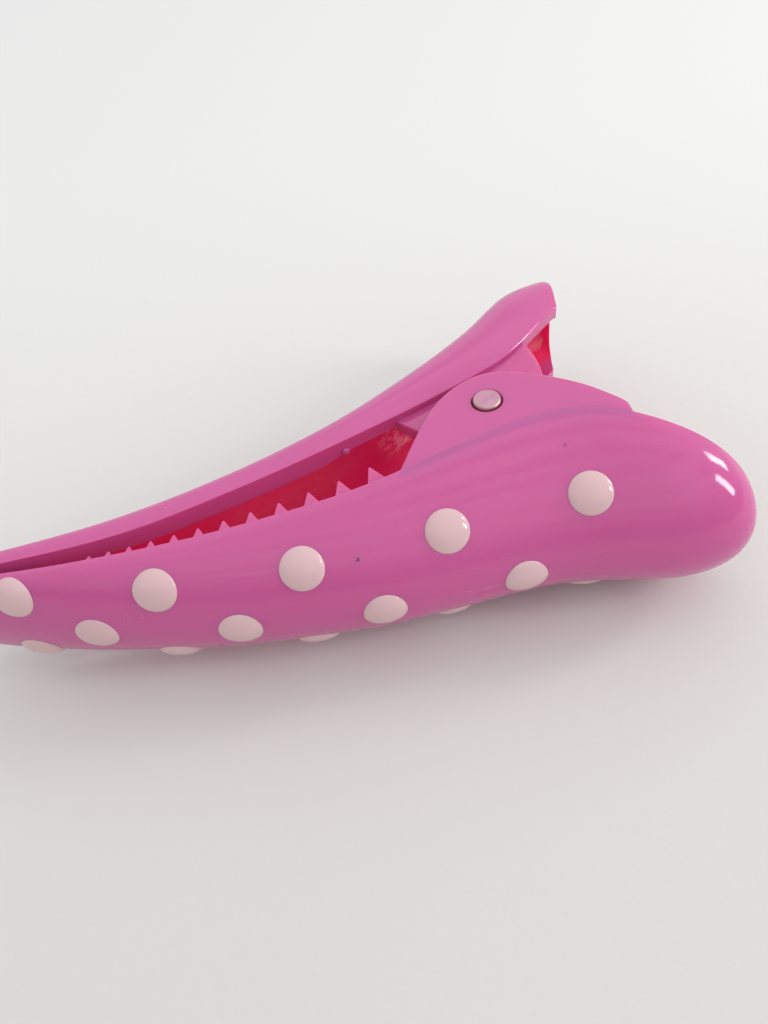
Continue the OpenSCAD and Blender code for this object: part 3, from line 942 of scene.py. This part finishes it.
def dot_enamel(moulding, wear):
    """Smooth pale pink paint in low domes, with the odd fine scratch."""
    material, n, shader, place = new_material("dot_enamel")
    colour = n.mix(n.noise(place, 220.0, 2.0), (0.68, 0.44, 0.46, 1), (0.74, 0.51, 0.52, 1))
    marks = n.group(wear, place)
    colour = n.mix(n.math("MULTIPLY", marks["Speck"], 0.6), colour, (0.5, 0.3, 0.34, 1))
    rough = n.math("ADD", n.math("MULTIPLY", marks["Scratch"], 0.2), 0.12)
    height = n.group(moulding, place, Amount=0.6)["Height"]
    n.feed(
        shader, Base_Color=colour, Roughness=rough,
        Subsurface_Weight=0.15, Subsurface_Radius=(1.0, 0.5, 0.5), Subsurface_Scale=0.0008,
        Normal=n.bump(height, 0.3, 0.0001),
    )
    return material


def pin_steel():
    """Turned steel with fine rings on its ends and a dull, slightly worn face."""
    material, n, shader, place = new_material("pin_steel")
    middle = tuple(PIN * MM)
    about = n.add("VectorMath", operation="SUBTRACT", inputs={0: place, 1: middle}).outputs[0]
    apart = n.add("SeparateXYZ", inputs={0: about})
    x, y = apart.outputs[0], apart.outputs[1]
    radius = n.math("SQRT", n.math("ADD", n.math("MULTIPLY", x, x), n.math("MULTIPLY", y, y)))
    rings = n.math("SINE", n.math("MULTIPLY", radius, 42000.0))
    stain = n.noise(place, 900.0, 3.0)
    colour = n.mix(n.ramp(stain, 0.35, 0.7), (0.60, 0.29, 0.41, 1), (0.70, 0.38, 0.49, 1))
    rim = n.ramp(radius, 0.00095, 0.00125)
    colour = n.mix(n.math("MULTIPLY", rim, 0.5), colour, (0.55, 0.47, 0.33, 1))
    rough = n.ramp(stain, 0.3, 0.7, 0.38, 0.52)
    height = n.math("ADD", n.math("MULTIPLY", rings, 0.2), n.noise(place, 2600.0, 3.0))
    normal = n.bump(height, 0.4, 0.00003)
    n.feed(shader, Base_Color=colour, Metallic=1.0, Roughness=rough, Normal=normal)
    return material


def spring_steel():
    """Bright drawn wire with fine draw marks."""
    material, n, shader, place = new_material("spring_steel")
    stain = n.noise(place, 700.0, 3.0)
    colour = n.mix(n.ramp(stain, 0.35, 0.7), (0.5, 0.48, 0.46, 1), (0.68, 0.66, 0.64, 1))
    rough = n.ramp(stain, 0.3, 0.7, 0.22, 0.34)
    normal = n.bump(n.noise(place, 3000.0, 3.0), 0.3, 0.00003)
    n.feed(shader, Base_Color=colour, Metallic=1.0, Roughness=rough, Normal=normal)
    return material


def paint(pieces, material):
    """Gives every piece that one material."""
    for piece in pieces:
        piece.data.materials.clear()
        piece.data.materials.append(material)


moulding = moulding_group()
wear = wear_group()
paint([front_piece, back_piece], pink_plastic(moulding, wear))
paint(dot_pieces, dot_enamel(moulding, wear))
paint([pin_piece], pin_steel())
paint([spring_piece], spring_steel())


# ---------------------------------------------------------------- table, light and camera


def table_top():
    """Off-white table with a soft speckle near the clip, and painted light that makes it lighter and
    plain towards the back.
    """
    material, n, shader, place = new_material("table_white")
    cloud = n.noise(place, 18.0, 3.0)
    across = n.add("SeparateXYZ", inputs={0: place}).outputs[1]
    # Painted light: the table is painted darker in front and lighter at the back, where more light
    # falls.
    near = n.mix(cloud, (0.655, 0.635, 0.605, 1), (0.685, 0.665, 0.635, 1))
    colour = n.mix(n.ramp(across, -0.07, 0.09), near, (0.80, 0.795, 0.77, 1))
    normal = n.bump(n.noise(place, 900.0, 4.0, 0.6), 0.15, 0.0002)
    n.feed(shader, Base_Color=colour, Roughness=0.75, Specular_IOR_Level=0.25, Normal=normal)
    return material


def make_table():
    """Wide flat table just under the clip's lowest points."""
    mesh = bpy.data.meshes.new("table")
    wide = 3.0
    corners = [(-wide, -wide, 0), (wide, -wide, 0), (wide, wide, 0), (-wide, wide, 0)]
    mesh.from_pydata(corners, [], [(0, 1, 2, 3)])
    table = bpy.data.objects.new("table", mesh)
    bpy.context.scene.collection.objects.link(table)
    table.location = (0, 0, -0.0002)
    table.data.materials.append(table_top())


def aim_at(thing, target):
    """Turns a light to face a point."""
    thing.rotation_mode = "QUATERNION"
    thing.rotation_quaternion = (Vector(target) - thing.location).to_track_quat("-Z", "Y")


def area_light(name, place, target, size, power, colour):
    """A soft rectangular light that faces the target."""
    light = bpy.data.lights.new(name, "AREA")
    light.shape = "RECTANGLE"
    light.size, light.size_y = size
    light.energy = power
    light.color = colour
    lamp = bpy.data.objects.new(name, light)
    bpy.context.scene.collection.objects.link(lamp)
    lamp.location = place
    aim_at(lamp, target)


def make_lights():
    """A low window of two panes to the right."""
    daylight = (1.0, 0.99, 0.97)
    for name, y, width, power in (("near_pane", -0.155, 0.20, 0.62), ("far_pane", 0.075, 0.17, 0.5)):
        area_light(name, (0.46, y, 0.25), (0.02, 0, 0), (0.075, width), power, daylight)


def make_room():
    """Room light by direction: bright above and behind, dim near the floor in front, in soft
    bands, with a plain pale backdrop."""
    world = bpy.data.worlds.new("room")
    bpy.context.scene.world = world
    world.use_nodes = True
    n = Nodes(world.node_tree)
    way = n.add("TexCoord").outputs["Generated"]
    apart = n.add("SeparateXYZ", inputs={0: way})
    y, z = apart.outputs[1], apart.outputs[2]
    front = n.ramp(z, 0.05, 0.9, 0.46, 1.08)
    behind = n.ramp(z, 0.0, 0.9, 0.86, 1.04)
    side = n.ramp(y, -0.5, 0.35)
    front_part = n.math("MULTIPLY", front, n.math("SUBTRACT", 1.0, side))
    level = n.math("ADD", front_part, n.math("MULTIPLY", behind, side))
    banded = n.add("Mapping", inputs={"Vector": way, "Scale": (0.6, 3.0, 9.0)}).outputs[0]
    level = n.math("MULTIPLY", level, n.ramp(n.noise(banded, 1.6, 1.0), 0.3, 0.7, 0.78, 1.18))
    seen = n.add("LightPath").outputs["Is Camera Ray"]
    unseen = n.math("MULTIPLY", level, n.math("SUBTRACT", 1.0, seen))
    level = n.math("ADD", unseen, n.math("MULTIPLY", seen, 0.9))
    back = world.node_tree.nodes["Background"]
    back.inputs["Color"].default_value = (0.96, 0.975, 1.0, 1)
    world.node_tree.links.new(level, back.inputs["Strength"])


def make_camera():
    """Camera above the front shell, close to the clip and turned a little on its side."""
    a, e, roll = math.radians(-2.687), math.radians(48.819), math.radians(-8.368)
    away = Vector((math.sin(a) * math.cos(e), -math.cos(a) * math.cos(e), math.sin(e)))
    right = Vector((math.cos(a), math.sin(a), 0))
    up = away.cross(right)
    turned_right = right * math.cos(roll) + up * math.sin(roll)
    turned_up = up * math.cos(roll) - right * math.sin(roll)
    data = bpy.data.cameras.new("camera")
    data.lens = 33.56
    data.sensor_width = 36
    data.clip_start, data.clip_end = 0.001, 10
    camera = bpy.data.objects.new("camera", data)
    bpy.context.scene.collection.objects.link(camera)
    place = (np.array([-14.1298, -65.0078, 69.7789]) + PIN) * MM
    columns = Matrix((turned_right, turned_up, away)).transposed()
    camera.matrix_world = Matrix.Translation(place) @ columns.to_4x4()
    bpy.context.scene.camera = camera


make_table()
make_lights()
make_room()
make_camera()
bpy.context.scene.view_settings.view_transform = "Standard"
